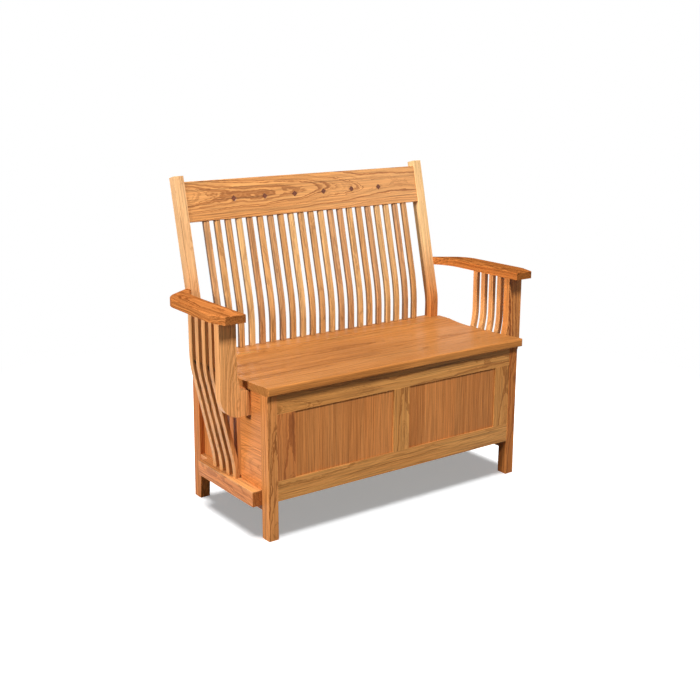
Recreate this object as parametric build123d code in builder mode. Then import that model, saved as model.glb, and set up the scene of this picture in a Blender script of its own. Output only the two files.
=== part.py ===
from build123d import *
import os
from math import atan2, cos, radians, sin, tan

os.makedirs("parts", exist_ok=True)

# An oak storage settle: a panelled chest with a lift-up seat, a slatted back and bracketed arms.
# Millimetres, +Z up. The front faces -Y and X runs across the seat. The origin is on the floor,
# under the middle of the overall size. A setback is a distance behind the front of the front legs,
# and a half width is a distance from the middle of the seat.

# Chest
chest_width = 946.0
chest_depth = 429.0
leg_width = 32.0
front_leg_depth = 38.0
rear_leg_depth = 32.0
rear_foot_depth = 36.5
rear_foot_kick = 11.0
rear_foot_height = 71.0
seat_height = 457.0
overall_height = 987.0
leg_edge_round = 1.5

# Frames between the legs
front_reveal = 1.5
back_reveal = 3.0
side_reveal = 1.5
frame_thickness = 20.0
side_frame_thickness = 27.0
rail_height = 60.0
stile_width = 60.0
front_rail_lift = 115.0
side_rail_lift = 85.0
side_stile_width = 114.0
side_ledge_reach = 30.0
side_ledge_height = 45.0
side_ledge_rear_gap = 42.0

# Panels
panel_thickness = 6.0
front_panel_recess = 4.0
side_panel_thickness = 8.0
side_panel_recess = 15.0
groove_depth = 8.0
panel_play = 1.0

# Joinery
tenon_length = 14.0
tenon_thickness = 8.0
tenon_shoulder = 8.0
joint_gap = 0.1
cut_overrun = 10.0

# Chest floor
floor_thickness = 9.0
floor_play = 0.5
cleat_size = 18.0

# Seat
seat_thickness = 25.0
seat_front_overhang = 16.0
seat_side_overhang = 7.0
seat_scoop_depth = 7.0
seat_scoop_front_margin = 21.0
seat_scoop_rear_margin = 5.0
seat_scoop_low_setback = 255.0
seat_edge_round = 4.5
lid_rest_gap = 0.3
fixed_rail_depth = 79.0
seam_gap = 1.5
seam_chamfer = 3.0

# Lid hinges
hinge_count = 3
hinge_end_inset = 111.0
hinge_length = 64.0
leaf_height = 20.0
leaf_thickness = 1.5
leaf_gap = 0.2
barrel_radius = 2.5
barrel_gap = 0.3
pin_radius = 1.25
pin_gap = 0.1
knuckle_count = 5
knuckle_gap = 0.3
screws_per_leaf = 3
screw_spacing = 22.0
screw_drop = 12.0
screw_length = 14.0
screw_head_radius = 2.7
screw_head_depth = 1.3
screw_shank_radius = 1.4

# Back posts and crest rail
back_lean = 13.3
back_bend_rise = 68.0
back_bend_radius = 150.0
back_post_depth = 32.0
crest_height = 122.0
crest_thickness = 20.0
crest_setback = 2.5
crest_drop = 18.0
crest_tenon_thickness = 10.0
plug_count = 6
plug_end_inset = 162.0
plug_width = 12.7
plug_depth = 8.0
plug_proud = 1.0

# Slats
slat_width = 19.0
slat_tenon_length = 12.0
slat_tenon_width = 13.0
slat_tenon_thickness = 8.0
back_slat_count = 21
back_slat_end_inset = 59.0
back_slat_thickness = 12.7
back_slat_setback = 15.0
back_slat_bend_share = 0.56
side_slat_count = 4
side_slat_pitch = 39.0
side_slat_thickness = 14.0
side_slat_first_gap = 50.5
side_slat_foot_gap = 0.5
side_slat_high_rise = 14.0
side_slat_low_rise = 33.0
side_slat_bend_share = 0.88

# Arms, level boards with clipped front corners, cut obliquely to the rear posts
arm_rise = 201.0
arm_thickness = 24.0
arm_seat_clearance = 26.0
arm_width = 82.0
arm_front_setback = 48.0
arm_clip_width = 18.0
arm_clip_length = 57.0
arm_neck_width = 28.0
arm_neck_proud = 2.0
arm_waist_length = 94.0
arm_corner_inset = 6.5
arm_corner_length = 79.5
arm_corner_radius = 100.0
arm_edge_round = 3.0
arm_tongue_width = 14.0

# Arm posts, flat brackets whose feet turn in under the seat
arm_post_inset = 8.0
arm_post_width = 54.0
arm_post_front_inset = 41.0
arm_post_depth = 26.0
arm_post_foot_height = 75.5
arm_post_foot_radius = 60.0
arm_post_flare_rise = 25.0
arm_post_flare_width = 9.0
arm_post_flare_radius = 60.0
arm_post_toe_gap = 1.5
arm_post_toe_radius = 18.0
arm_post_tenon_width = 38.0
arm_post_tenon_thickness = 12.0
arm_post_tenon_length = 12.0
arm_post_foot_tenon_height = 30.0

# Places worked out from the sizes above
half_chest = chest_width / 2
leg_inner = half_chest - leg_width
frame_top = seat_height - seat_thickness
lean = radians(back_lean)
bend_height = seat_height + back_bend_rise
lean_run = (overall_height - bend_height) * tan(lean)
rear_reach = chest_depth - rear_leg_depth + lean_run + back_post_depth * cos(lean)
chest_front = (seat_front_overhang - rear_reach) / 2
chest_back = chest_front + chest_depth
front_leg_back = chest_front + front_leg_depth
rear_leg_front = chest_back - rear_leg_depth

across = (-leg_inner, leg_inner)
front_frame = (chest_front + front_reveal, chest_front + front_reveal + frame_thickness)
back_frame = (chest_back - back_reveal - frame_thickness, chest_back - back_reveal)
front_frame_middle = sum(front_frame) / 2
front_panel_middle = front_frame[0] + front_panel_recess + panel_thickness / 2
back_frame_middle = sum(back_frame) / 2
top_rail = (frame_top - rail_height, frame_top)
bottom_rail = (front_rail_lift, front_rail_lift + rail_height)
front_opening_height = (bottom_rail[1], top_rail[0])
front_stile_runs = {
    "left": (-leg_inner, -leg_inner + stile_width),
    "center": (-stile_width / 2, stile_width / 2),
    "right": (leg_inner - stile_width, leg_inner),
}
front_openings = {
    "left": (front_stile_runs["left"][1], front_stile_runs["center"][0]),
    "right": (front_stile_runs["center"][1], front_stile_runs["right"][0]),
}

side_face = half_chest - side_reveal
side_inner = side_face - side_frame_thickness
side_panel_middle = side_face - side_panel_recess - side_panel_thickness / 2
side_run = (front_leg_back, rear_leg_front)
side_stile_run = (front_leg_back, front_leg_back + side_stile_width)
side_opening_run = (side_stile_run[1], rear_leg_front)
side_bottom_rail = (side_rail_lift, side_rail_lift + rail_height)
side_ledge_run = (front_leg_back, rear_leg_front - side_ledge_rear_gap)
side_ledge = (side_bottom_rail[1] - side_ledge_height, side_bottom_rail[1])
side_opening_height = (side_bottom_rail[1], top_rail[0])

seat_half_width = half_chest + seat_side_overhang
seat_across = (-seat_half_width, seat_half_width)
seat_front = chest_front - seat_front_overhang
seam_y = chest_back - fixed_rail_depth
hinge_z = seat_height - barrel_radius
knuckle_pitch = (hinge_length + knuckle_gap) / knuckle_count

post_length = (overall_height - bend_height) / cos(lean)
crest_span = (post_length - crest_drop - crest_height, post_length - crest_drop)
crest_middle_depth = crest_setback + crest_thickness / 2
crest_plane = Plane(
    origin=(0, rear_leg_front, bend_height), x_dir=(1, 0, 0), z_dir=(0, -cos(lean), sin(lean))
).offset(-crest_middle_depth)
back_slat_foot_y = rear_leg_front + back_slat_setback + back_slat_thickness / 2

arm_height = seat_height + arm_rise
arm_underside = arm_height - arm_thickness
arm_inner = seat_half_width + arm_seat_clearance
arm_outer = arm_inner + arm_width
arm_front = chest_front + arm_front_setback
post_front_at_arm = rear_leg_front + (arm_height - arm_thickness / 2 - bend_height) * tan(lean)
arm_neck = post_front_at_arm - arm_neck_proud
arm_rear = arm_neck + arm_neck_width
arm_post_inner = arm_inner + arm_post_inset
arm_post_outer = arm_post_inner + arm_post_width
arm_post_run = (arm_front + arm_post_front_inset, arm_front + arm_post_front_inset + arm_post_depth)
arm_post_middle = sum(arm_post_run) / 2
side_slat_places = [
    arm_post_run[1] + side_slat_first_gap + i * side_slat_pitch for i in range(side_slat_count)
]
side_slat_top_half_width = (arm_inner + arm_outer) / 2
side_slat_foot_half_width = half_chest + side_slat_foot_gap + side_slat_thickness / 2
sides = ((-1, "left"), (1, "right"))


# Spans, blocks and what they cut


def around(middle, size):
    """The span of a size centred on a place."""
    return (middle - size / 2, middle + size / 2)


def inset(span, margin):
    """A span shortened by a margin at both ends."""
    return (min(span) + margin, max(span) - margin)


def outboard(side, near, far):
    """A span between two half widths, on one side."""
    return (side * near, side * far)


def length(span):
    return max(span) - min(span)


def row(count, end_inset):
    """Evenly spaced places between the posts, the end ones an inset from them."""
    pitch = 2 * (leg_inner - end_inset) / (count - 1)
    return [(i - (count - 1) / 2) * pitch for i in range(count)]


def block(x, y, z, mode=Mode.ADD):
    """A square-edged board between three spans."""
    with Locations((sum(x) / 2, sum(y) / 2, sum(z) / 2)):
        Box(length(x), length(y), length(z), mode=mode)


def socket(x, y, z):
    """The mortise or groove that takes a block of the same spans, with its glue gap."""
    block(inset(x, -joint_gap), inset(y, -joint_gap), inset(z, -joint_gap), mode=Mode.SUBTRACT)


def leaning_block(x, along, thickness, mode=Mode.ADD):
    """A board in the middle of the crest's thickness, between spans of X and up the lean."""
    with Locations(crest_plane):
        with Locations((sum(x) / 2, sum(along) / 2)):
            Box(length(x), length(along), thickness, mode=mode)


def leaning_socket(x, along, thickness):
    """The mortise that takes a leaning block, with its glue gap."""
    thickness += 2 * joint_gap
    leaning_block(inset(x, -joint_gap), inset(along, -joint_gap), thickness, mode=Mode.SUBTRACT)


def on_lean(along):
    """Y and Z of a place up the lean, in the middle of the crest's thickness."""
    y = rear_leg_front + along * sin(lean) + crest_middle_depth * cos(lean)
    z = bend_height + along * cos(lean) - crest_middle_depth * sin(lean)
    return (y, z)


def save(piece, name):
    """Names a finished piece and writes it."""
    piece.part.label = name
    export_step(piece.part, f"parts/{name}.step")


# Rows across the seat
hinge_places = row(hinge_count, hinge_end_inset)
plug_places = row(plug_count, plug_end_inset)
back_slat_places = row(back_slat_count, back_slat_end_inset)


# Tenons and panels, each used by the piece that has it and by the pieces that take it.
# A tenon that its rail or stile has at both ends is one bar through the whole of it.


def front_rail_tenon(height):
    return inset(across, -tenon_length), around(front_frame_middle, tenon_thickness), height


def back_rail_tenon(height):
    return inset(across, -tenon_length), around(back_frame_middle, tenon_thickness), height


def side_rail_tenon(side, height):
    x = around(side * side_panel_middle, tenon_thickness)
    return x, inset(side_run, -tenon_length), height


def front_stile_tenon(run):
    x = inset(run, tenon_shoulder)
    return x, around(front_frame_middle, tenon_thickness), inset(front_opening_height, -tenon_length)


def side_stile_tenon(side):
    x = around(side * side_panel_middle, tenon_thickness)
    return x, inset(side_stile_run, tenon_shoulder), inset(side_opening_height, -tenon_length)


def front_panel(opening, reach):
    y = around(front_panel_middle, panel_thickness)
    return inset(opening, -reach), y, inset(front_opening_height, -reach)


def back_panel(reach):
    y = around(back_frame_middle, panel_thickness)
    return inset(across, -reach), y, inset(front_opening_height, -reach)


def side_panel(side, reach):
    x = around(side * side_panel_middle, side_panel_thickness)
    return x, inset(side_opening_run, -reach), inset(side_opening_height, -reach)


def slat_end(x, y, z):
    """The tenon at a slat's end at height z, a bar that reaches as far into the slat as out of it."""
    return x, y, around(z, 2 * slat_tenon_length)


def back_slat_foot(place):
    y = around(back_slat_foot_y, slat_tenon_thickness)
    return slat_end(around(place, slat_tenon_width), y, seat_height)


def back_slat_top(place):
    along = around(crest_span[0], 2 * slat_tenon_length)
    return around(place, slat_tenon_width), along, slat_tenon_thickness


def side_slat_foot(side, place):
    x = around(side * side_slat_foot_half_width, slat_tenon_thickness)
    return slat_end(x, around(place, slat_tenon_width), side_bottom_rail[1])


def side_slat_top(side, place):
    x = around(side * side_slat_top_half_width, slat_tenon_thickness)
    return slat_end(x, around(place, slat_tenon_width), arm_underside)


def crest_tenon():
    return inset(across, -tenon_length), inset(crest_span, tenon_shoulder), crest_tenon_thickness


def arm_post_top_tenon(side):
    middle = side * (arm_post_inner + arm_post_outer) / 2
    y = around(arm_post_middle, arm_post_tenon_thickness)
    return around(middle, arm_post_tenon_width), y, around(arm_underside, 2 * arm_post_tenon_length)


def arm_post_foot_tenon(side):
    bottom = top_rail[0] + tenon_shoulder
    x = around(side * side_face, 2 * arm_post_tenon_length)
    y = around(arm_post_middle, arm_post_tenon_thickness)
    return x, y, (bottom, bottom + arm_post_foot_tenon_height)


def arm_tongue(side):
    y = around((arm_neck + arm_rear) / 2, arm_tongue_width)
    z = around(arm_underside + arm_thickness / 2, tenon_thickness)
    return around(side * half_chest, 2 * tenon_length), y, z


# Legs and rear posts


def front_leg(side):
    with BuildPart() as leg:
        run = (chest_front, front_leg_back)
        block(outboard(side, leg_inner, half_chest), run, (0, frame_top))
        fillet(leg.edges().filter_by(Axis.Z), leg_edge_round)
        for height in (top_rail, bottom_rail):
            socket(*front_rail_tenon(inset(height, tenon_shoulder)))
        for height in (top_rail, side_bottom_rail):
            socket(*side_rail_tenon(side, inset(height, tenon_shoulder)))
    return leg


def rear_post(side):
    """One sawn piece: a leg whose foot kicks back, and above the seat a post that leans back."""
    top_front = (rear_leg_front + lean_run, overall_height)
    top_rear_y = top_front[0] + back_post_depth * cos(lean)
    top_rear_z = top_front[1] - back_post_depth * sin(lean)
    heel_y = chest_back + rear_foot_kick
    kick = rear_foot_kick / seat_height
    rear_bend_z = (heel_y - top_rear_y + top_rear_z * tan(lean)) / (tan(lean) + kick)
    with BuildPart() as post:
        with BuildSketch(Plane.YZ.offset(side * leg_inner)) as profile:
            with BuildLine():
                Polyline(
                    (heel_y - rear_foot_depth, 0),
                    (heel_y, 0),
                    (heel_y - kick * rear_bend_z, rear_bend_z),
                    (top_rear_y, top_rear_z),
                    top_front,
                    (rear_leg_front, bend_height),
                    (rear_leg_front, rear_foot_height),
                    close=True,
                )
            make_face()
            fillet(profile.vertices().sort_by(Axis.Y)[3:5], back_bend_radius)
        extrude(amount=side * leg_width)
        for height in (top_rail, bottom_rail):
            socket(*back_rail_tenon(inset(height, tenon_shoulder)))
        for height in (top_rail, side_bottom_rail):
            socket(*side_rail_tenon(side, inset(height, tenon_shoulder)))
        socket(*back_panel(groove_depth))
        socket(*side_panel(side, groove_depth))
        leaning_socket(*crest_tenon())
        socket(*arm_tongue(side))
    return post


# Front and back frames


def front_rail(height):
    with BuildPart() as rail:
        block(across, front_frame, height)
        block(*front_rail_tenon(inset(height, tenon_shoulder)))
        for run in front_stile_runs.values():
            socket(*front_stile_tenon(run))
        for opening in front_openings.values():
            socket(*front_panel(opening, groove_depth))
    return rail


def front_stile(run):
    with BuildPart() as stile:
        block(run, front_frame, front_opening_height)
        for opening in front_openings.values():
            socket(*front_panel(opening, groove_depth))
        block(*front_stile_tenon(run))
    return stile


def back_rail(height):
    with BuildPart() as rail:
        block(across, back_frame, height)
        socket(*back_panel(groove_depth))
        block(*back_rail_tenon(inset(height, tenon_shoulder)))
    return rail


# Side frames


def side_top_rail(side):
    with BuildPart() as rail:
        block(outboard(side, side_inner, side_face), side_run, top_rail)
        socket(*side_panel(side, groove_depth))
        block(*side_rail_tenon(side, inset(top_rail, tenon_shoulder)))
        socket(*side_stile_tenon(side))
        socket(*arm_post_foot_tenon(side))
    return rail


def side_lower_rail(side):
    """The bottom rail, whose outer part stands out from the legs as a ledge for the slats."""
    ledge_x = outboard(side, side_face, half_chest + side_ledge_reach)
    with BuildPart() as rail:
        block(outboard(side, side_inner, side_face), side_run, side_bottom_rail)
        block(ledge_x, side_ledge_run, side_ledge)
        socket(*side_panel(side, groove_depth))
        block(*side_rail_tenon(side, inset(side_bottom_rail, tenon_shoulder)))
        socket(*side_stile_tenon(side))
        for place in side_slat_places:
            socket(*side_slat_foot(side, place))
    return rail


def side_stile(side):
    with BuildPart() as stile:
        block(outboard(side, side_inner, side_face), side_stile_run, side_opening_height)
        socket(*side_panel(side, groove_depth))
        block(*side_stile_tenon(side))
    return stile


def panel(spans):
    with BuildPart() as board:
        block(*spans)
    return board


# Chest floor


def chest_floor():
    x = inset(across, floor_play)
    y = (front_frame[1] + floor_play, back_frame[0] - floor_play)
    bottom = front_rail_lift + cleat_size
    with BuildPart() as board:
        block(x, y, (bottom, bottom + floor_thickness))
    return board


def floor_cleats():
    """Four cleats round the inside of the bottom rails, under the floor."""
    x = inset(across, floor_play)
    front = (front_frame[1], front_frame[1] + cleat_size)
    back = (back_frame[0] - cleat_size, back_frame[0])
    z = (front_rail_lift, front_rail_lift + cleat_size)
    with BuildPart() as cleats:
        block(x, front, z)
        block(x, back, z)
        for side, _ in sides:
            run = (front[1] + floor_play, back[0] - floor_play)
            block(outboard(side, side_inner - cleat_size, side_inner), run, z)
    return cleats


# Lid hinges


def barrel(x, radius, mode=Mode.ADD):
    """A round bar on the hinge line over a span of X."""
    with Locations(Plane(origin=(sum(x) / 2, seam_y, hinge_z), z_dir=(1, 0, 0))):
        Cylinder(radius, length(x), mode=mode)


def knuckles(place, first):
    """Spans of every second knuckle of the hinge at a place, from the first one given."""
    start = place - hinge_length / 2
    return [
        (start + i * knuckle_pitch, start + (i + 1) * knuckle_pitch - knuckle_gap)
        for i in range(first, knuckle_count, 2)
    ]


def leaf_plate(place, way):
    """The plate of one leaf: way is 1 on the fixed rail and -1 on the lid."""
    face = seam_y + way * leaf_gap / 2
    y = (face, face + way * leaf_thickness)
    return around(place, hinge_length), y, (hinge_z - leaf_height, hinge_z)


def leaf_screws(place, way, gap=0, mode=Mode.ADD):
    """Countersunk screws through one leaf, or the holes that take them."""
    base = (Align.CENTER, Align.CENTER, Align.MIN)
    head_radius = screw_head_radius + gap
    shank_radius = screw_shank_radius + gap
    for i in range(screws_per_leaf):
        x = place + (i - (screws_per_leaf - 1) / 2) * screw_spacing
        head = (x, seam_y + way * leaf_gap / 2, hinge_z - screw_drop)
        with Locations(Plane(origin=head, z_dir=(0, way, 0))):
            Cone(head_radius, shank_radius, screw_head_depth, align=base, mode=mode)
            Cylinder(shank_radius, screw_length + gap, align=base, mode=mode)


def hinge_cuts(way):
    """Takes the hinges' room out of the fixed rail or the lid."""
    for place in hinge_places:
        span = around(place, hinge_length + 2 * barrel_gap)
        barrel(span, barrel_radius + barrel_gap, Mode.SUBTRACT)
        socket(*leaf_plate(place, way))
        leaf_screws(place, way, joint_gap, Mode.SUBTRACT)


def hinge_leaves(way, first_knuckle):
    with BuildPart() as leaves:
        for place in hinge_places:
            block(*leaf_plate(place, way))
            for span in knuckles(place, 1 - first_knuckle):
                barrel(inset(span, -knuckle_gap), barrel_radius + leaf_gap, Mode.SUBTRACT)
            for span in knuckles(place, first_knuckle):
                barrel(span, barrel_radius)
            bore = around(place, hinge_length + 2 * barrel_gap)
            barrel(bore, pin_radius + pin_gap, Mode.SUBTRACT)
            leaf_screws(place, way, joint_gap, Mode.SUBTRACT)
    return leaves


def hinge_pins():
    with BuildPart() as pins:
        for place in hinge_places:
            barrel(around(place, hinge_length), pin_radius)
    return pins


def hinge_screws(way):
    with BuildPart() as screws:
        for place in hinge_places:
            leaf_screws(place, way)
    return screws


# Seat


def seat_lid():
    """The plank in front of the seam, its top scooped front to back."""
    rear = seam_y - seam_gap / 2
    low = (chest_front + seat_scoop_low_setback, seat_height - seat_scoop_depth)
    scoop_front = (seat_front + seat_scoop_front_margin, seat_height)
    scoop_rear = (rear - seat_scoop_rear_margin, seat_height)
    with BuildPart() as lid:
        block(seat_across, (seat_front, rear), (frame_top + lid_rest_gap, seat_height))
        fillet(lid.faces().sort_by(Axis.Y)[0].edges(), seat_edge_round)
        chamfer(lid.faces().sort_by(Axis.Y)[-1].edges().sort_by(Axis.Z)[-1], seam_chamfer)
        with BuildSketch(Plane.YZ):
            with BuildLine():
                TangentArc(low, scoop_front, tangent=(-1, 0))
                TangentArc(low, scoop_rear, tangent=(1, 0))
                Line(scoop_front, scoop_rear)
            make_face()
        extrude(amount=seat_half_width + cut_overrun, both=True, mode=Mode.SUBTRACT)
        hinge_cuts(-1)
    return lid


def seat_rear_rail():
    """The fixed strip behind the seam, notched round the rear posts, that carries the back."""
    with BuildPart() as rail:
        run = (seam_y + seam_gap / 2, chest_back)
        block(seat_across, run, (frame_top, seat_height))
        chamfer(rail.faces().sort_by(Axis.Y)[0].edges().sort_by(Axis.Z)[-1], seam_chamfer)
        for side, _ in sides:
            socket(
                outboard(side, leg_inner, seat_half_width + cut_overrun),
                (rear_leg_front, chest_back + cut_overrun),
                inset((frame_top, seat_height), -cut_overrun),
            )
        for place in back_slat_places:
            socket(*back_slat_foot(place))
        hinge_cuts(1)
    return rail


# Back


def plug_bars(gap=0, mode=Mode.ADD):
    """The square plugs, set on their corners in the crest's face, or the holes that take them."""
    width = plug_width + 2 * gap
    depth = plug_depth + plug_proud + gap
    base = (Align.CENTER, Align.CENTER, Align.MAX)
    with Locations(crest_plane.offset(crest_thickness / 2 + plug_proud)):
        for place in plug_places:
            with Locations((place, sum(crest_span) / 2)):
                Box(width, width, depth, rotation=(0, 0, 45), align=base, mode=mode)


def crest_rail():
    with BuildPart() as crest:
        leaning_block(across, crest_span, crest_thickness)
        leaning_block(*crest_tenon())
        for place in back_slat_places:
            leaning_socket(*back_slat_top(place))
        plug_bars(joint_gap, Mode.SUBTRACT)
    return crest


def crest_plugs():
    with BuildPart() as plugs:
        plug_bars()
    return plugs


def back_slat(place):
    """A slat that stands upright on the seat and bends back to meet the leaning crest."""
    bend_along = (back_slat_foot_y - rear_leg_front - crest_middle_depth * cos(lean)) / sin(lean)
    bend = on_lean(bend_along)
    bend_run = back_slat_bend_share * (bend[1] - seat_height)
    with BuildPart() as slat:
        with BuildSketch(Plane.YZ.offset(place - slat_width / 2)):
            with BuildLine():
                FilletPolyline(
                    (back_slat_foot_y, seat_height),
                    bend,
                    on_lean(crest_span[0]),
                    radius=bend_run / tan(lean / 2),
                )
            trace(line_width=back_slat_thickness)
        extrude(amount=slat_width)
        block(*back_slat_foot(place))
        leaning_block(*back_slat_top(place))
    return slat


# Arms


def arm(side):
    inner = side * arm_inner
    outer = side * arm_outer
    clip = (outer - side * arm_clip_width, arm_front)
    corner = (outer - side * arm_corner_inset, arm_rear - arm_corner_length)
    rear = (side * half_chest, arm_rear)
    neck = (side * half_chest, arm_neck)
    waist = (inner, arm_neck - arm_waist_length)
    with BuildPart() as board:
        with BuildSketch(Plane.XY.offset(arm_underside)) as outline:
            with BuildLine():
                Polyline(
                    waist,
                    (inner, arm_front),
                    clip,
                    (outer, arm_front + arm_clip_length),
                    corner,
                    rear,
                    neck,
                )
                TangentArc(waist, neck, tangent=(0, 1))
            make_face()
            fillet(outline.vertices().sort_by_distance(corner)[0], arm_corner_radius)
        extrude(amount=arm_thickness)
        edges = board.faces().sort_by(Axis.Z)[-1].edges()
        free_edges = edges.filter_by(lambda edge: abs(edge.center().X) > half_chest + joint_gap)
        fillet(free_edges, arm_edge_round)
        block(*arm_tongue(side))
        socket(*arm_post_top_tenon(side))
        for place in side_slat_places:
            socket(*side_slat_top(side, place))
    return board


def arm_post(side):
    """A flat bracket, upright under the arm, whose foot turns in under the seat's end."""
    foot = side * side_face
    inner = side * arm_post_inner
    outer = side * arm_post_outer
    toe = (foot, frame_top - arm_post_toe_gap)
    heel = (outer, toe[1] - arm_post_foot_height)
    flare = (inner, seat_height + arm_post_flare_rise)
    with BuildPart() as post:
        with BuildSketch(Plane.XZ.offset(-arm_post_run[1])) as profile:
            with BuildLine():
                Polyline(
                    (inner, arm_underside),
                    flare,
                    (inner - side * arm_post_flare_width, toe[1]),
                    toe,
                    (foot, heel[1]),
                    heel,
                    (outer, arm_underside),
                    close=True,
                )
            make_face()
            for corner, radius in (
                (toe, arm_post_toe_radius),
                (heel, arm_post_foot_radius),
                (flare, arm_post_flare_radius),
            ):
                fillet(profile.vertices().sort_by_distance(corner)[0], radius)
        extrude(amount=arm_post_depth)
        block(*arm_post_top_tenon(side))
        block(*arm_post_foot_tenon(side))
    return post


def side_slats(side):
    """The slats under one arm, bent in below the seat to stand on the bottom rail."""
    top_x = side * side_slat_top_half_width
    foot_x = side * side_slat_foot_half_width
    high = (top_x, seat_height + side_slat_high_rise)
    low = (foot_x, side_bottom_rail[1] + side_slat_low_rise)
    turn = atan2(abs(top_x - foot_x), high[1] - low[1])
    bend_radius = side_slat_bend_share * side_slat_low_rise / tan(turn / 2)
    with BuildPart() as slats:
        for place in side_slat_places:
            with BuildSketch(Plane.XZ.offset(-place - slat_width / 2)):
                with BuildLine():
                    FilletPolyline(
                        (top_x, arm_underside),
                        high,
                        low,
                        (foot_x, side_bottom_rail[1]),
                        radius=bend_radius,
                    )
                trace(line_width=side_slat_thickness)
            extrude(amount=slat_width)
            block(*side_slat_foot(side, place))
            block(*side_slat_top(side, place))
    return slats


# Every piece of the settle
save(front_rail(top_rail), "front_top_rail")
save(front_rail(bottom_rail), "front_bottom_rail")
for name, run in front_stile_runs.items():
    save(front_stile(run), f"front_stile_{name}")
for name, opening in front_openings.items():
    save(panel(front_panel(opening, groove_depth - panel_play)), f"front_panel_{name}")

save(back_rail(top_rail), "back_top_rail")
save(back_rail(bottom_rail), "back_bottom_rail")
save(panel(back_panel(groove_depth - panel_play)), "back_panel")

for side, name in sides:
    save(front_leg(side), f"front_leg_{name}")
    save(rear_post(side), f"rear_post_{name}")
    save(side_top_rail(side), f"side_top_rail_{name}")
    save(side_lower_rail(side), f"side_bottom_rail_{name}")
    save(side_stile(side), f"side_stile_{name}")
    save(panel(side_panel(side, groove_depth - panel_play)), f"side_panel_{name}")
    save(arm(side), f"arm_{name}")
    save(arm_post(side), f"arm_post_{name}")
    save(side_slats(side), f"side_slats_{name}")

save(chest_floor(), "chest_floor")
save(floor_cleats(), "floor_cleats")
save(seat_lid(), "seat_lid")
save(seat_rear_rail(), "seat_rear_rail")

save(hinge_leaves(1, 0), "hinge_rail_leaves")
save(hinge_leaves(-1, 1), "hinge_lid_leaves")
save(hinge_pins(), "hinge_pins")
save(hinge_screws(1), "hinge_rail_screws")
save(hinge_screws(-1), "hinge_lid_screws")

save(crest_rail(), "crest_rail")
save(crest_plugs(), "crest_plugs")
for number, place in enumerate(back_slat_places, start=1):
    save(back_slat(place), f"back_slat_{number:02d}")
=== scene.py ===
from math import cos, radians, sin, tan

import bpy
from mathutils import Euler, Matrix, Vector


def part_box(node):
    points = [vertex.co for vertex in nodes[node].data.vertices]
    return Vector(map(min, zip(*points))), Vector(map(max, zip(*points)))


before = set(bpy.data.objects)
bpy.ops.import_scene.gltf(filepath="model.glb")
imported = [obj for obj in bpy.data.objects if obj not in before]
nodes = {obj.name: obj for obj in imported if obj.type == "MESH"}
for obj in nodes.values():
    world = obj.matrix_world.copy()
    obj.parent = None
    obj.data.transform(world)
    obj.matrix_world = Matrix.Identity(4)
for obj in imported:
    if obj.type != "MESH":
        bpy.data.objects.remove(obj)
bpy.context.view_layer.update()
scene = bpy.context.scene

# The looks of an oak storage settle. Metres, in the model's own frame: +Z up, the front faces -Y.

X = Vector((1, 0, 0))
Y = Vector((0, 1, 0))
Z = Vector((0, 0, 1))
lean = radians(13.3)
up_the_lean = Vector((0, sin(lean), cos(lean)))
into_the_lean = Vector((0, cos(lean), -sin(lean)))
sides = ("left", "right")


# Camera, at the photograph's place, with its angles in degrees
camera_place = (-1.9897, -2.7333, 1.3260)
camera_heading = -35.84
camera_dip = 14.45
camera_roll = 0.07
camera_lens = 56.92
camera_sensor = 36.0
camera_shift = (0.0043, -0.0090)
camera_clip = (0.05, 60.0)


def make_camera():
    data = bpy.data.cameras.new("camera")
    data.lens = camera_lens
    data.sensor_width = camera_sensor
    data.shift_x, data.shift_y = camera_shift
    data.clip_start, data.clip_end = camera_clip
    camera = bpy.data.objects.new("camera", data)
    scene.collection.objects.link(camera)
    aim = Euler((radians(90 - camera_dip), 0, radians(camera_heading))).to_matrix()
    camera.location = camera_place
    camera.rotation_euler = (aim @ Matrix.Rotation(radians(camera_roll), 3, "Z")).to_euler()
    scene.camera = camera


# Node helpers


def add(tree, kind, inputs=None, **settings):
    """A new node with its settings, and each input either linked or set."""
    node = tree.nodes.new(kind)
    for key, value in settings.items():
        setattr(node, key, value)
    for key, value in (inputs or {}).items():
        if isinstance(value, bpy.types.NodeSocket):
            tree.links.new(value, node.inputs[key])
        else:
            node.inputs[key].default_value = value
    return node


def calc(tree, operation, *values):
    """Arithmetic on sockets and numbers."""
    return add(tree, "ShaderNodeMath", dict(enumerate(values)), operation=operation).outputs[0]


def vector(tree, operation, first, second, out="Vector"):
    """Arithmetic on two vectors."""
    return add(tree, "ShaderNodeVectorMath", {0: first, 1: second}, operation=operation).outputs[out]


def dot(tree, first, second):
    """How far one vector reaches along another."""
    return vector(tree, "DOT_PRODUCT", first, second, out="Value")


def scaled(tree, first, factor):
    """A vector or a colour times a number."""
    return add(tree, "ShaderNodeVectorMath", {0: first, "Scale": factor}, operation="SCALE").outputs[0]


def noise(tree, place, detail=1.0, roughness=0.5):
    """Soft noise of one turn per unit of the place."""
    inputs = {"Vector": place, "Scale": 1.0, "Detail": detail, "Roughness": roughness}
    return add(tree, "ShaderNodeTexNoise", inputs).outputs["Fac"]


def chance_of(tree, number):
    """A number from 0 to 1 that is the same wherever the given number is."""
    return add(tree, "ShaderNodeTexWhiteNoise", {"W": number}, noise_dimensions="1D").outputs["Value"]


def ramp(tree, value, low, high, to_low=0.0, to_high=1.0, smooth=True):
    """The value carried from one range to another, held at its ends."""
    kind = "SMOOTHSTEP" if smooth else "LINEAR"
    inputs = {"Value": value, "From Min": low, "From Max": high, "To Min": to_low, "To Max": to_high}
    return add(tree, "ShaderNodeMapRange", inputs, interpolation_type=kind, clamp=True).outputs["Result"]


def mix(tree, share, first, second):
    """A colour between two, at a share of the second."""
    return add(tree, "ShaderNodeMix", {0: share, 6: first, 7: second}, data_type="RGBA").outputs[2]


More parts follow.
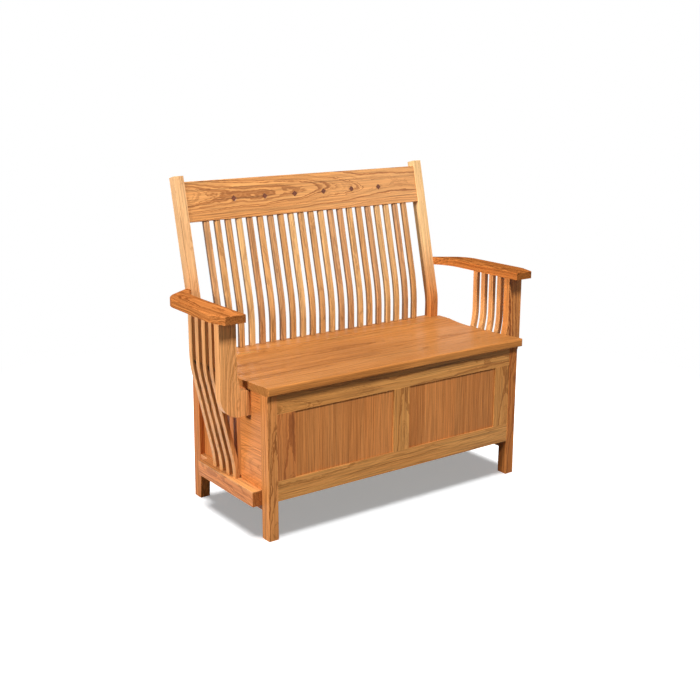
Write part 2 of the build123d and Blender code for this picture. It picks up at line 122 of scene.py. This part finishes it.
def rgb(red, green, blue):
    """A linear colour from the 0 to 255 numbers of a screen colour."""
    values = []
    for level in (red, green, blue):
        level /= 255
        values.append(level / 12.92 if level <= 0.04045 else ((level + 0.055) / 1.055) ** 2.4)
    return (*values, 1.0)


def new_material(name):
    """A node material, its tree and its shader."""
    material = bpy.data.materials.new(name)
    material.use_nodes = True
    tree = material.node_tree
    return material, tree, tree.nodes["Principled BSDF"]


def dress(node, material):
    """Gives a carried-over piece its material."""
    for slot in nodes[node].material_slots:
        slot.material = material


# Oak, cut from a log: growth rings round a pith, with pores in the early wood of each ring

# Its patterns: turns per metre across and along the grain, layers of detail and roughness
oak_patterns = {
    "sway": (5.0, 1.9, 1.0, 0.5),
    "wobble": (28.0, 12.0, 2.0, 0.5),
    "ragged": (300.0, 60.0, 2.0, 0.5),
    "pores": (1500.0, 80.0, 1.0, 0.5),
    "fibre": (620.0, 11.0, 2.0, 0.6),
    "grain": (270.0, 7.0, 2.0, 0.6),
    "lines": (260.0, 3.0, 2.0, 0.6),
    "streak": (85.0, 2.6, 3.0, 0.6),
    "broad": (9.0, 1.6, 1.0, 0.5),
}

# Growth, in metres and in parts of a year
wobble_depth = 0.0075
ragged_depth = 0.0016
drift_per_year = 0.45
year_drift = 1.6
early_wood_starts = 0.06
early_wood_fades = (0.12, 0.50)
faintest_year = 0.45

# Shares of a darker colour
streak_share = 0.40
broad_share = 0.30
year_share = 0.22
pore_share = 0.42
pore_brown = (0.05, 0.018, 0.005, 1)
least_pores = 0.2

# Levels that the colour is multiplied by
fibre_levels = (0.87, 1.11)
grain_levels = (0.80, 1.15)
line_level = 0.66
end_level = 0.72
# Edges lighter: partly wear, partly a painted highlight along them
edge_gain_for_wear_and_highlight = 0.22
end_grain = (0.55, 0.95)

# Roughness and height
base_roughness = 0.33
pore_roughness = 0.22
early_roughness = 0.06
broad_roughness = 0.06
end_roughness = 0.14
edge_polish = 0.05
pore_depth = 0.8
fibre_height = 0.25
early_depth = 0.25


def grow_rings(tree, given, pattern):
    """How much early wood is at a place, and the chance that its year has to itself."""
    across, through, along = add(tree, "ShaderNodeSeparateXYZ", {0: given["Place"]}).outputs
    square = calc(tree, "MULTIPLY", through, through)
    square = calc(tree, "ADD", calc(tree, "MULTIPLY", across, across), square)
    radius = calc(tree, "SQRT", square)
    radius = calc(tree, "MULTIPLY_ADD", along, given["Taper"], radius)
    for name, depth in (("sway", given["Sway"]), ("wobble", wobble_depth), ("ragged", ragged_depth)):
        offset = calc(tree, "SUBTRACT", pattern(name), 0.5)
        radius = calc(tree, "MULTIPLY_ADD", offset, depth, radius)
    years = calc(tree, "DIVIDE", radius, given["Ring"])
    drift = {"W": calc(tree, "MULTIPLY", years, drift_per_year), "Detail": 1.0}
    drift = add(tree, "ShaderNodeTexNoise", drift, noise_dimensions="1D").outputs["Fac"]
    years = calc(tree, "MULTIPLY_ADD", drift, year_drift, years)
    year = calc(tree, "FLOOR", years)
    season = calc(tree, "SUBTRACT", years, year)
    start = ramp(tree, season, 0.0, early_wood_starts)
    early = calc(tree, "MULTIPLY", start, ramp(tree, season, *early_wood_fades, 1.0, 0.0))
    year_chance = chance_of(tree, year)
    strength = calc(tree, "MULTIPLY_ADD", year_chance, 1 - faintest_year, faintest_year)
    return calc(tree, "MULTIPLY", early, strength), year_chance


def oak_colour(tree, given, pattern, early, year_chance, pores, fibre, broad):
    """The colour of the oak, from its pale, body and dark colours, with its edges lighter: partly wear,
    partly a painted highlight.
    """
    streak = calc(tree, "MULTIPLY", ramp(tree, pattern("streak"), 0.30, 0.70), given["Streak"])
    share = calc(tree, "MULTIPLY_ADD", streak, streak_share, calc(tree, "MULTIPLY", broad, broad_share))
    colour = mix(tree, share, given["Pale"], given["Body"])
    colour = mix(tree, calc(tree, "MULTIPLY", year_chance, year_share), colour, given["Body"])
    colour = mix(tree, calc(tree, "MULTIPLY", early, given["Figure"]), colour, given["Dark"])
    pore_colour = mix(tree, 0.5, given["Dark"], pore_brown)
    colour = mix(tree, calc(tree, "MULTIPLY", pores, pore_share), colour, pore_colour)
    lines = ramp(tree, pattern("lines"), 0.53, 0.66, 0.0, line_level - 1)
    for level in (
        ramp(tree, fibre, 0.30, 0.70, *fibre_levels, smooth=False),
        ramp(tree, pattern("grain"), 0.32, 0.68, *grain_levels, smooth=False),
        calc(tree, "MULTIPLY_ADD", lines, given["Streak"], 1.0),
        ramp(tree, given["End"], *end_grain, 1.0, end_level),
        # painted highlight and wear: the edges made lighter
        calc(tree, "MULTIPLY_ADD", given["Edge"], edge_gain_for_wear_and_highlight, 1.0),
    ):
        colour = scaled(tree, colour, level)
    return colour


def oak_roughness(tree, given, early, pores, broad):
    """Rougher in the pores and on end grain, smoother along the worn edges."""
    rough = calc(tree, "MULTIPLY_ADD", pores, pore_roughness, base_roughness)
    rough = calc(tree, "MULTIPLY_ADD", early, early_roughness, rough)
    rough = calc(tree, "MULTIPLY_ADD", calc(tree, "SUBTRACT", broad, 0.5), broad_roughness, rough)
    rough = calc(tree, "ADD", rough, ramp(tree, given["End"], *end_grain, 0.0, end_roughness))
    return calc(tree, "MULTIPLY_ADD", given["Edge"], -edge_polish, rough)


def oak_height(tree, early, pores, fibre):
    """Pores and early wood lie low, fibres stand up."""
    height = calc(tree, "MULTIPLY", fibre, fibre_height)
    height = calc(tree, "MULTIPLY_ADD", pores, -pore_depth, height)
    return calc(tree, "MULTIPLY_ADD", early, -early_depth, height)


def make_oak_group():
    """The oak that every piece of it shares. Its place has the pith along Z."""
    tree = bpy.data.node_groups.new("oak_wood", "ShaderNodeTree")
    for direction, kind, names in (
        ("INPUT", "NodeSocketVector", ("Place",)),
        ("INPUT", "NodeSocketFloat", ("Seed", "Ring", "Sway", "Taper", "Figure", "Streak")),
        ("INPUT", "NodeSocketColor", ("Pale", "Body", "Dark")),
        ("INPUT", "NodeSocketFloat", ("End", "Edge")),
        ("OUTPUT", "NodeSocketColor", ("Color",)),
        ("OUTPUT", "NodeSocketFloat", ("Roughness", "Height")),
    ):
        for name in names:
            tree.interface.new_socket(name, in_out=direction, socket_type=kind)
    given = tree.nodes.new("NodeGroupInput").outputs
    made = tree.nodes.new("NodeGroupOutput").inputs
    shift = add(tree, "ShaderNodeCombineXYZ", {axis: given["Seed"] for axis in range(3)}).outputs[0]

    def pattern(name):
        """One of the patterns, stretched along the grain and moved to where the seed says."""
        across, along, detail, roughness = oak_patterns[name]
        place = vector(tree, "MULTIPLY", given["Place"], (across, across, along))
        return noise(tree, vector(tree, "ADD", place, shift), detail, roughness)

    early, year_chance = grow_rings(tree, given, pattern)
    pores = ramp(tree, pattern("pores"), 0.55, 0.70)
    pores = calc(tree, "MULTIPLY", pores, calc(tree, "MULTIPLY_ADD", early, 1 - least_pores, least_pores))
    fibre = pattern("fibre")
    broad = ramp(tree, pattern("broad"), 0.30, 0.70)
    colour = oak_colour(tree, given, pattern, early, year_chance, pores, fibre, broad)
    tree.links.new(colour, made["Color"])
    tree.links.new(oak_roughness(tree, given, early, pores, broad), made["Roughness"])
    tree.links.new(oak_height(tree, early, pores, fibre), made["Height"])
    return tree


oak_group = make_oak_group()


# Finishes: the pale, body and dark colours of the oak, by the tone that they give it


def finish_of(*colours):
    return tuple(rgb(*colour) for colour in colours)


honey = finish_of((222, 160, 94), (200, 132, 68), (142, 78, 28))
wheat = finish_of((240, 200, 146), (224, 176, 118), (178, 120, 64))
flax = finish_of((232, 186, 134), (214, 160, 108), (168, 108, 60))
straw = finish_of((238, 172, 108), (216, 146, 82), (152, 86, 34))
maple = finish_of((229, 166, 104), (209, 140, 80), (146, 84, 38))
copper = finish_of((222, 150, 82), (204, 124, 60), (126, 60, 22))
ginger = finish_of((220, 150, 86), (198, 122, 62), (124, 62, 22))
olive = finish_of((218, 156, 86), (194, 124, 60), (126, 68, 22))
chestnut = finish_of((210, 138, 76), (188, 110, 52), (124, 58, 18))
umber = finish_of((206, 132, 70), (184, 104, 48), (118, 56, 20))
toffee = finish_of((201, 135, 72), (177, 107, 50), (114, 57, 17))
tobacco = finish_of((200, 124, 62), (174, 98, 42), (102, 48, 14))
blond = finish_of((224, 176, 116), (205, 149, 88), (148, 90, 42))
tan_oak = finish_of((212, 158, 99), (190, 131, 72), (130, 74, 30))
reddish = finish_of((206, 154, 102), (184, 125, 75), (128, 70, 30))


# Oak pieces

bend_softness = 0.06
seeds_between_rows = 40.0
pith_between_rows = 0.09
shift_along_rows = 3.0
row_levels = (0.90, 1.07)
edge_radius = 0.0022
edge_turn = (0.90, 0.995)
grain_bump = 0.35
grain_bump_depth = 0.0004
coat_roughness = 0.16
coat_ior = 1.45


def straightened(tree, place, leans_from):
    """The place in a post or slat that leans back from a height, as if it stood straight."""
    height = calc(tree, "SUBTRACT", dot(tree, place, Z), leans_from)
    rise = calc(tree, "SMOOTH_MAX", height, 0.0, bend_softness)
    return vector(tree, "ADD", place, scaled(tree, Y * -tan(lean), rise))


def into_row(tree, place, rows, seed):
    """The place within its own board or slat, and the chance that the board or slat has to itself."""
    axis, first, pitch = rows
    cell = calc(tree, "DIVIDE", calc(tree, "SUBTRACT", dot(tree, place, axis), first), pitch)
    cell = calc(tree, "FLOOR", calc(tree, "ADD", cell, 0.5))
    middle = calc(tree, "MULTIPLY_ADD", cell, pitch, first)
    place = vector(tree, "ADD", place, scaled(tree, -axis, middle))
    return place, chance_of(tree, calc(tree, "ADD", cell, seed))


def from_pith(tree, local, along, across, through, pith):
    """The place as the rings see it: across and through from the pith, and along it."""
    return add(tree, "ShaderNodeCombineXYZ", {
        0: calc(tree, "SUBTRACT", dot(tree, local, across), pith[0]),
        1: calc(tree, "SUBTRACT", dot(tree, local, through), pith[1]),
        2: dot(tree, local, along),
    }).outputs[0]


def edge_mask_for_wear_and_highlight(tree):
    """1 where a sharp edge is near, 0 on a flat: where the edges' wear and their painted highlight go."""
    rounded = add(tree, "ShaderNodeBevel", {"Radius": edge_radius}, samples=4).outputs[0]
    flat = add(tree, "ShaderNodeNewGeometry").outputs["Normal"]
    return ramp(tree, dot(tree, rounded, flat), *edge_turn, 1.0, 0.0)


def oak(node, along, across, through, finish, *, pith, ring, sway, figure, seed, taper=0.02, streak=1.0,
        rows=None, leans_from=None, upper=None, coat=0.0, gloss=0.12):
    """Dresses a piece in oak. The grain runs along it, and the pith's place is across and through the
    piece from its middle. Rings are so far apart and sway so far, and figure is how dark they are. Rows
    are boards or slats side by side in the piece, each from its own tree: an axis, a first middle and a
    pitch. Upper is a second, lighter set of colours, from the height where it starts to where it is all:
    it paints light onto the upper part of a piece."""
    material, tree, shader = new_material(f"oak_{node}")
    low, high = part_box(node)
    middle = (low + high) / 2
    texture = tree.nodes.new("ShaderNodeTexCoord").outputs
    place = texture["Object"]
    if leans_from:
        place = straightened(tree, place, leans_from)
    if rows:
        place, chance = into_row(tree, place, rows, seed)
        middle -= rows[0] * middle.dot(rows[0])
    place = from_pith(tree, vector(tree, "SUBTRACT", place, middle), along, across, through, pith)
    wood = {"Ring": ring, "Sway": sway, "Taper": taper, "Figure": figure, "Streak": streak, "Seed": seed,
            "End": calc(tree, "ABSOLUTE", dot(tree, texture["Normal"], along)), "Edge": edge_mask_for_wear_and_highlight(tree)}
    if rows:
        wood["Seed"] = calc(tree, "MULTIPLY_ADD", chance, seeds_between_rows, seed)
        moved = calc(tree, "MULTIPLY_ADD", chance, pith_between_rows, -pith_between_rows / 2)
        slid = calc(tree, "MULTIPLY", chance, shift_along_rows)
        place = vector(tree, "ADD", place, add(tree, "ShaderNodeCombineXYZ", {0: moved, 2: slid}).outputs[0])
    wood["Place"] = place
    for index, key in enumerate(("Pale", "Body", "Dark")):
        wood[key] = finish[index]
        if upper:
            second, start, stop = upper
            share = ramp(tree, dot(tree, texture["Object"], Z), start, stop)
            wood[key] = mix(tree, share, finish[index], second[index])
    group = tree.nodes.new("ShaderNodeGroup")
    group.node_tree = oak_group
    for key, value in wood.items():
        if isinstance(value, bpy.types.NodeSocket):
            tree.links.new(value, group.inputs[key])
        else:
            group.inputs[key].default_value = value
    colour = group.outputs["Color"]
    if rows:
        colour = scaled(tree, colour, ramp(tree, chance, 0.0, 1.0, *row_levels, smooth=False))
    bump = {"Strength": grain_bump, "Distance": grain_bump_depth, "Height": group.outputs["Height"]}
    tree.links.new(add(tree, "ShaderNodeBump", bump).outputs[0], shader.inputs["Normal"])
    tree.links.new(colour, shader.inputs["Base Color"])
    tree.links.new(group.outputs["Roughness"], shader.inputs["Roughness"])
    shader.inputs["Coat Weight"].default_value = coat
    shader.inputs["Coat Roughness"].default_value = coat_roughness
    shader.inputs["Coat IOR"].default_value = coat_ior
    shader.inputs["Specular IOR Level"].default_value = gloss
    dress(node, material)


# Heights where the posts and slats start to lean, where the posts' painted highlight starts and where it is
# all, where the ledge's painted light starts, and the ledge's top
post_leans_from = 0.525
slat_leans_from = 0.57
post_painted_highlight_starts = 0.48
post_painted_highlight_stops = 0.78
ledge_painted_light_starts = 0.139
ledge_top = 0.145

back_slats = 21
reddish_slats = (1, 5, 7, 13, 14, 17, 20)
blond_slats = (4, 9, 12, 15, 18, 19)


def dress_posts():
    leg_finishes = (ginger, umber)
    # The rear posts made lighter towards their tops: a painted highlight
    post_top_painted_highlights = (flax, wheat)
    for number, side in enumerate(sides):
        oak(f"front_leg_{side}", Z, X, Y, leg_finishes[number], pith=(0.012, 0.05), ring=0.0034, sway=0.012,
            figure=0.9, seed=11 + 7 * number, gloss=0.06)
        oak(f"rear_post_{side}", Z, X, Y, umber, pith=(0.03, 0.07), ring=0.0038, sway=0.012,
            figure=0.6, seed=23 + 5 * number, leans_from=post_leans_from,
            upper=(post_top_painted_highlights[number], post_painted_highlight_starts, post_painted_highlight_stops), gloss=0.05)


def dress_side_frames():
    for number, side in enumerate(sides):
        out = -1 if side == "left" else 1
        oak(f"side_top_rail_{side}", Y, Z, X, umber, pith=(0.0, -0.05 * out), ring=0.0040, sway=0.02,
            figure=0.6, seed=31 + 3 * number)
        oak(f"side_bottom_rail_{side}", Y, Z, X, umber, pith=(0.015, -0.05 * out), ring=0.0040, sway=0.03,
            # The top of the ledge painted lighter: painted light
            figure=0.7, seed=37 + 3 * number, upper=(straw, ledge_painted_light_starts, ledge_top))
        oak(f"side_stile_{side}", Y, Z, X, umber, pith=(0.02, -0.07 * out), ring=0.0036, sway=0.12,
            figure=0.46, seed=43 + 3 * number, rows=(Z, 0.175, 0.26), streak=0.4)
        oak(f"side_panel_{side}", Z, Y, X, umber, pith=(0.09, -0.06 * out), ring=0.0042, sway=0.03,
            figure=0.5, seed=47 + 3 * number, rows=(Y, 0.0, 0.12))


def dress_front_and_back():
    for number, (node, figure, pith) in enumerate((
        ("front_top_rail", 0.55, (-0.01, 0.06)),
        ("front_bottom_rail", 0.45, (0.03, 0.07)),
        ("back_top_rail", 0.5, (0.0, 0.06)),
        ("back_bottom_rail", 0.5, (0.02, 0.06)),
    )):
        oak(node, X, Z, Y, olive, pith=pith, ring=0.0042, sway=0.03, figure=figure, seed=61 + 3.7 * number)
    for number, (place, finish) in enumerate((("left", umber), ("center", olive), ("right", olive))):
        oak(f"front_stile_{place}", Z, X, Y, finish, pith=(0.015, 0.06), ring=0.0040, sway=0.02,
            figure=0.6, seed=73 + 3.1 * number)
    for number, node in enumerate(("front_panel_left", "front_panel_right", "back_panel")):
        oak(node, Z, X, Y, chestnut, pith=(0.14, 0.03), ring=0.0036, sway=0.008, figure=0.34,
            seed=83 + 4.3 * number, rows=(X, -0.215 + 0.37 * number, 0.125), streak=0.55, gloss=0.08)


def dress_seat():
    """The lid and the rail behind it are cut from one panel of boards that run along the seat."""
    for node in ("seat_lid", "seat_rear_rail"):
        oak(node, X, Y, Z, toffee, pith=(0.02, -0.07), ring=0.0048, sway=0.03, figure=0.32, seed=91.0,
            rows=(Y, -0.215, 0.105), streak=0.7, gloss=0.02)


def dress_back():
    """The crest rail shows a cathedral, and the slats come in mixed tones."""
    oak("crest_rail", X, up_the_lean, into_the_lean, honey, pith=(0.012, 0.055), ring=0.0046, sway=0.035,
        figure=0.9, seed=7.3, taper=0.035, coat=0.2, gloss=0.3)
    for number in range(1, back_slats + 1):
        finish = reddish if number in reddish_slats else blond if number in blond_slats else tan_oak
        oak(f"back_slat_{number:02d}", Z, X, Y, finish, pith=(0.02 * sin(1.7 * number), 0.035),
            ring=0.0036, sway=0.012, figure=0.6, seed=2.37 * number, leans_from=slat_leans_from,
            coat=0.1, gloss=0.3)


def dress_arms():
    arm_finishes = (umber, tobacco)
    post_finishes = (straw, copper)
    post_figures = (0.55, 1.05)
    for number, side in enumerate(sides):
        out = -1 if side == "left" else 1
        oak(f"arm_{side}", Y, X, Z, arm_finishes[number], pith=(0.012 * out, -0.05), ring=0.0045,
            sway=0.06, figure=0.85, seed=101 + 6.1 * number, gloss=0.0)
        oak(f"arm_post_{side}", Z, X, Y, post_finishes[number], pith=(0.0, 0.045), ring=0.0045,
            sway=0.05, figure=post_figures[number], seed=111 + 6.1 * number)
        oak(f"side_slats_{side}", Z, Y, X, maple, pith=(0.0, -0.04 * out), ring=0.0038, sway=0.012,
            figure=0.45, seed=121 + 6.1 * number, rows=(Y, -0.0952, 0.039))


# Softwood inside the chest, dark plugs, brass and screws


def patterned(name, node, pale, dark, stretch, roughness, metallic=0.0, bump_depth=0.0002):
    """Dresses a small part in a plain material with streaks along X."""
    material, tree, shader = new_material(name)
    place = tree.nodes.new("ShaderNodeTexCoord").outputs["Object"]
    streak = noise(tree, vector(tree, "MULTIPLY", place, stretch), 3.0, 0.6)
    colour = mix(tree, ramp(tree, streak, 0.3, 0.7), rgb(*pale), rgb(*dark))
    rough = ramp(tree, streak, 0.3, 0.7, *roughness, smooth=False)
    bump = add(tree, "ShaderNodeBump", {"Strength": 0.3, "Distance": bump_depth, "Height": streak})
    tree.links.new(colour, shader.inputs["Base Color"])
    tree.links.new(rough, shader.inputs["Roughness"])
    tree.links.new(bump.outputs[0], shader.inputs["Normal"])
    shader.inputs["Metallic"].default_value = metallic
    dress(node, material)


def dress_small_parts():
    patterned("walnut", "crest_plugs", (112, 54, 18), (72, 28, 6), (60.0, 500.0, 500.0), (0.35, 0.5))
    for node in ("chest_floor", "floor_cleats"):
        patterned(f"softwood_{node}", node, (206, 182, 138), (176, 146, 98), (3.0, 120.0, 120.0),
                  (0.55, 0.7))
    metal = {"metallic": 1.0, "bump_depth": 0.00005}
    for node in ("hinge_rail_leaves", "hinge_lid_leaves", "hinge_pins"):
        patterned(f"brass_{node}", node, (214, 180, 112), (182, 142, 74), (40.0, 900.0, 900.0),
                  (0.25, 0.42), **metal)
    for node in ("hinge_rail_screws", "hinge_lid_screws"):
        patterned(f"steel_{node}", node, (196, 190, 178), (150, 144, 132), (400.0, 900.0, 900.0),
                  (0.3, 0.45), **metal)


# Edges eased as by a light sanding
thin_parts = ("panel", "cleat", "floor")
thin_ease = 0.0010
ease_width = 0.0014
ease_angle = radians(35)
weld_distance = 0.00001
normal_weight = 60


def ease(piece, width):
    """Joins a piece's faces and rounds its sharp edges a little."""
    weld = piece.modifiers.new("weld", "WELD")
    weld.merge_threshold = weld_distance
    bevel = piece.modifiers.new("ease", "BEVEL")
    bevel.width = width
    bevel.segments = 2
    bevel.limit_method = "ANGLE"
    bevel.angle_limit = ease_angle
    bevel.harden_normals = False
    normals = piece.modifiers.new("normals", "WEIGHTED_NORMAL")
    normals.keep_sharp = False
    normals.weight = normal_weight


def ease_edges():
    for node, piece in nodes.items():
        if not node.startswith(("hinge", "crest_plugs")):
            ease(piece, thin_ease if any(word in node for word in thin_parts) else ease_width)


# Floor and world: white to the eye and in reflections, and dim to everything else
floor_reach = 14.0
floor_grain = (30.0, 30.0, 30.0)
floor_pale = ((0.86, 0.87, 0.88, 1), (0.89, 0.90, 0.91, 1))
floor_dim = (0.11, 0.11, 0.11, 1)
floor_glow = 0.31
floor_whitens = (0.9, 2.0)
world_dim = 0.09
white = (1, 1, 1, 1)


def seen_or_reflected(tree):
    """1 for what the camera sees, through glass and in gloss too, and 0 for other light."""
    path = tree.nodes.new("ShaderNodeLightPath").outputs
    seen = calc(tree, "MAXIMUM", path["Is Camera Ray"], path["Is Transmission Ray"])
    return calc(tree, "MAXIMUM", seen, path["Is Glossy Ray"])


def make_floor_material():
    """Pale, with the settle's shadow on it near the settle, and plain white further away."""
    material = bpy.data.materials.new("pale_floor")
    material.use_nodes = True
    tree = material.node_tree
    tree.nodes.clear()
    place = tree.nodes.new("ShaderNodeTexCoord").outputs["Object"]
    seen = seen_or_reflected(tree)
    grain = noise(tree, vector(tree, "MULTIPLY", place, floor_grain), 2.0)
    paper = mix(tree, seen, floor_dim, mix(tree, grain, *floor_pale))
    diffuse = add(tree, "ShaderNodeBsdfDiffuse", {"Color": paper})
    glow = {"Color": white, "Strength": calc(tree, "MULTIPLY", seen, floor_glow)}
    glow = add(tree, "ShaderNodeEmission", glow)
    near = add(tree, "ShaderNodeAddShader", {0: diffuse.outputs[0], 1: glow.outputs[0]})
    far = add(tree, "ShaderNodeEmission", {"Color": white, "Strength": 1.0})
    distance = add(tree, "ShaderNodeVectorMath", {0: place}, operation="LENGTH").outputs["Value"]
    share = calc(tree, "MULTIPLY", ramp(tree, distance, *floor_whitens), seen)
    surface = add(tree, "ShaderNodeMixShader", {0: share, 1: near.outputs[0], 2: far.outputs[0]})
    add(tree, "ShaderNodeOutputMaterial", {"Surface": surface.outputs[0]})
    return material


def make_floor():
    corners = [(x * floor_reach, y * floor_reach, 0) for x, y in ((-1, -1), (1, -1), (1, 1), (-1, 1))]
    mesh = bpy.data.meshes.new("floor")
    mesh.from_pydata(corners, [], [(0, 1, 2, 3)])
    mesh.materials.append(make_floor_material())
    floor = bpy.data.objects.new("floor", mesh)
    scene.collection.objects.link(floor)
    return floor


def make_world():
    world = bpy.data.worlds.new("studio")
    scene.world = world
    world.use_nodes = True
    tree = world.node_tree
    tree.nodes.clear()
    level = calc(tree, "MULTIPLY_ADD", seen_or_reflected(tree), 1 - world_dim, world_dim)
    sky = add(tree, "ShaderNodeBackground", {"Color": white, "Strength": level})
    add(tree, "ShaderNodeOutputWorld", {"Surface": sky.outputs[0]})


# Softboxes on the settle: name, place, where it points, width and height, and watts
softboxes = (
    ("left_light", (-5.85, -0.45, 2.42), (0, 0, 0.5), (0.8, 0.8), 395),
    ("front_light", (-0.55, -2.37, 3.70), (0, 0, 0.5), (0.8, 0.8), 177),
    ("overhead", (-1.1, -0.4, 2.9), (-0.2, 0, 0.5), (1.6, 1.4), 1),
    ("fill", (2.9, -2.5, 1.75), (0, 0, 0.6), (1.4, 1.4), 8),
    ("back_light", (0.5, 3.6, 1.3), (0, 0, 0.5), (2.0, 1.2), 55),
)

# A sun straight above, for the floor and the chest's shadow on it
floor_sun_strength = 5.4
floor_sun_angle = radians(34)
chest_nodes = ("front", "seat", "side_stile", "side_top", "side_bottom", "side_panel", "rear", "back_panel",
               "back_top", "back_bottom", "chest")


def make_lamp(name, kind, place):
    data = bpy.data.lights.new(name, kind)
    lamp = bpy.data.objects.new(name, data)
    scene.collection.objects.link(lamp)
    lamp.location = place
    return lamp


def link_floor(lamp, floor, state):
    """The lamp lights only the floor, or everything but the floor."""
    group = bpy.data.collections.new(f"{lamp.name}_linking")
    group.objects.link(floor)
    group.collection_objects[0].light_linking.link_state = state
    lamp.light_linking.receiver_collection = group


def make_softboxes(floor):
    for name, place, target, (width, height), watts in softboxes:
        lamp = make_lamp(name, "AREA", place)
        lamp.data.shape = "RECTANGLE"
        lamp.data.size = width
        lamp.data.size_y = height
        lamp.data.energy = watts
        lamp.rotation_euler = (Vector(target) - Vector(place)).to_track_quat("-Z", "Y").to_euler()
        link_floor(lamp, floor, "EXCLUDE")


def make_floor_sun(floor):
    """Only the chest stops this light, so the arms and the back leave no shadow on the floor."""
    lamp = make_lamp("floor_light", "SUN", (0, 0, 3))
    lamp.data.energy = floor_sun_strength
    lamp.data.angle = floor_sun_angle
    link_floor(lamp, floor, "INCLUDE")
    chest = bpy.data.collections.new("chest_shadow")
    for node, piece in nodes.items():
        if node.startswith(chest_nodes):
            chest.objects.link(piece)
    lamp.light_linking.blocker_collection = chest


make_camera()
dress_posts()
dress_side_frames()
dress_front_and_back()
dress_seat()
dress_back()
dress_arms()
dress_small_parts()
ease_edges()
floor = make_floor()
make_world()
make_softboxes(floor)
make_floor_sun(floor)

scene.view_settings.view_transform = "Standard"
